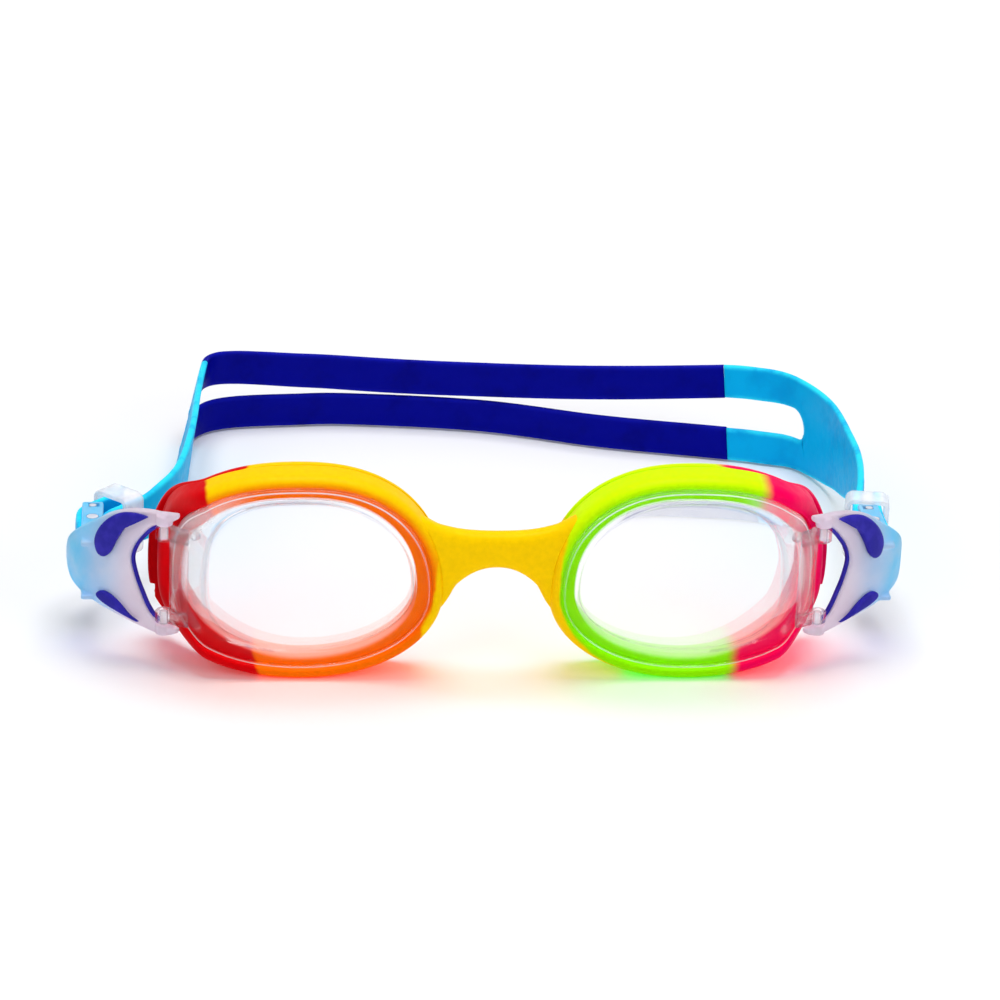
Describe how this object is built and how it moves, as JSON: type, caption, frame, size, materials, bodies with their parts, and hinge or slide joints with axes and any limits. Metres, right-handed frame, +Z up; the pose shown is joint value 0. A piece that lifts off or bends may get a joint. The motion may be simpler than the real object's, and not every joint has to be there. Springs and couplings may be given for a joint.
{
  "type": "swim goggles",
  "caption": "Child-size swim goggles: clear lenses in a soft multi-colour frame, frosted side clips with squeeze grips, and a split silicone strap that loops round the head.",
  "frame": {"origin": "under the middle of the whole object, on the surface that it stands on", "axes": "+X to the right as seen from the front, +Y from the lenses to the back of the strap, +Z up"},
  "size_m": [0.1572, 0.1281, 0.0399],
  "materials": {
    "orange_silicone": "satin silicone",
    "red_silicone": "satin silicone",
    "yellow_silicone": "satin silicone",
    "lime_silicone": "satin silicone",
    "pink_silicone": "satin silicone",
    "cyan_silicone": "satin silicone",
    "navy_silicone": "satin silicone",
    "clear_lens": "polished clear polycarbonate",
    "clear_keeper": "clear moulded plastic",
    "frosted_clip": "frosted translucent plastic",
    "purple_rubber": "matte soft-touch",
    "hinge_pin": "moulded",
    "inner_plastic": "moulded"
  },
  "bodies": {
    "frame": {"nose_bridge": "yellow_silicone", "left_rim": "orange_silicone", "right_rim": "lime_silicone", "left_gasket": "red_silicone", "right_gasket": "pink_silicone", "left_lens": "clear_lens", "right_lens": "clear_lens", "left_upper_hinge_pin": "hinge_pin", "left_lower_hinge_pin": "hinge_pin", "right_upper_hinge_pin": "hinge_pin", "right_lower_hinge_pin": "hinge_pin", "strap_upper_band": "navy_silicone", "strap_lower_band": "navy_silicone", "left_strap_yoke": "cyan_silicone", "right_strap_yoke": "cyan_silicone"},
    "left_clip": {"left_clip_body": "frosted_clip", "left_clip_trim": "purple_rubber", "left_strap_bar": "inner_plastic"},
    "left_upper_grip": {"left_upper_grip": "purple_rubber"},
    "left_lower_grip": {"left_lower_grip": "purple_rubber"},
    "left_pawl": {"left_pawl": "inner_plastic"},
    "left_keeper": {"left_keeper": "clear_keeper"},
    "right_clip": {"right_clip_body": "frosted_clip", "right_clip_trim": "purple_rubber", "right_strap_bar": "inner_plastic"},
    "right_upper_grip": {"right_upper_grip": "purple_rubber"},
    "right_lower_grip": {"right_lower_grip": "purple_rubber"},
    "right_pawl": {"right_pawl": "inner_plastic"},
    "right_keeper": {"right_keeper": "clear_keeper"}
  },
  "joints": [
    {"name": "left_clip_swing", "type": "hinge", "parent": "frame", "child": "left_clip", "pos_m": [-0.0604, -0.0579, 0.0174], "axis": [0, 0, 1], "range_deg": [-6, 12], "stiffness_Nm_per_rad": 0.02, "deforming": ["left_strap_yoke"]},
    {"name": "left_upper_grip_press", "type": "slide", "parent": "left_clip", "child": "left_upper_grip", "axis": [0, 0, -1], "range_m": [0, 0.0008], "stiffness_N_per_m": 400},
    {"name": "left_lower_grip_press", "type": "slide", "parent": "left_clip", "child": "left_lower_grip", "axis": [0, 0, 1], "range_m": [0, 0.0008], "stiffness_N_per_m": 400},
    {"name": "left_pawl_release", "type": "slide", "parent": "left_clip", "child": "left_pawl", "axis": [1, 0, 0], "range_m": [0, 0.0004]},
    {"name": "left_keeper_slide", "type": "slide", "parent": "left_clip", "child": "left_keeper", "axis": [0.6816, 0.7317, 0], "range_m": [0, 0.003]},
    {"name": "right_clip_swing", "type": "hinge", "parent": "frame", "child": "right_clip", "pos_m": [0.0604, -0.0579, 0.0174], "axis": [0, 0, -1], "range_deg": [-6, 12], "stiffness_Nm_per_rad": 0.02, "deforming": ["right_strap_yoke"]},
    {"name": "right_upper_grip_press", "type": "slide", "parent": "right_clip", "child": "right_upper_grip", "axis": [0, 0, -1], "range_m": [0, 0.0008], "stiffness_N_per_m": 400},
    {"name": "right_lower_grip_press", "type": "slide", "parent": "right_clip", "child": "right_lower_grip", "axis": [0, 0, 1], "range_m": [0, 0.0008], "stiffness_N_per_m": 400},
    {"name": "right_pawl_release", "type": "slide", "parent": "right_clip", "child": "right_pawl", "axis": [-1, 0, 0], "range_m": [0, 0.0004]},
    {"name": "right_keeper_slide", "type": "slide", "parent": "right_clip", "child": "right_keeper", "axis": [0.1498, 0.9887, 0], "range_m": [0, 0.003]}
  ],
  "couplings": [
    {"joint": "left_lower_grip_press", "follows": "left_upper_grip_press", "ratio": 1},
    {"joint": "left_pawl_release", "follows": "left_upper_grip_press", "ratio": 0.5},
    {"joint": "right_lower_grip_press", "follows": "right_upper_grip_press", "ratio": 1},
    {"joint": "right_pawl_release", "follows": "right_upper_grip_press", "ratio": 0.5}
  ]
}
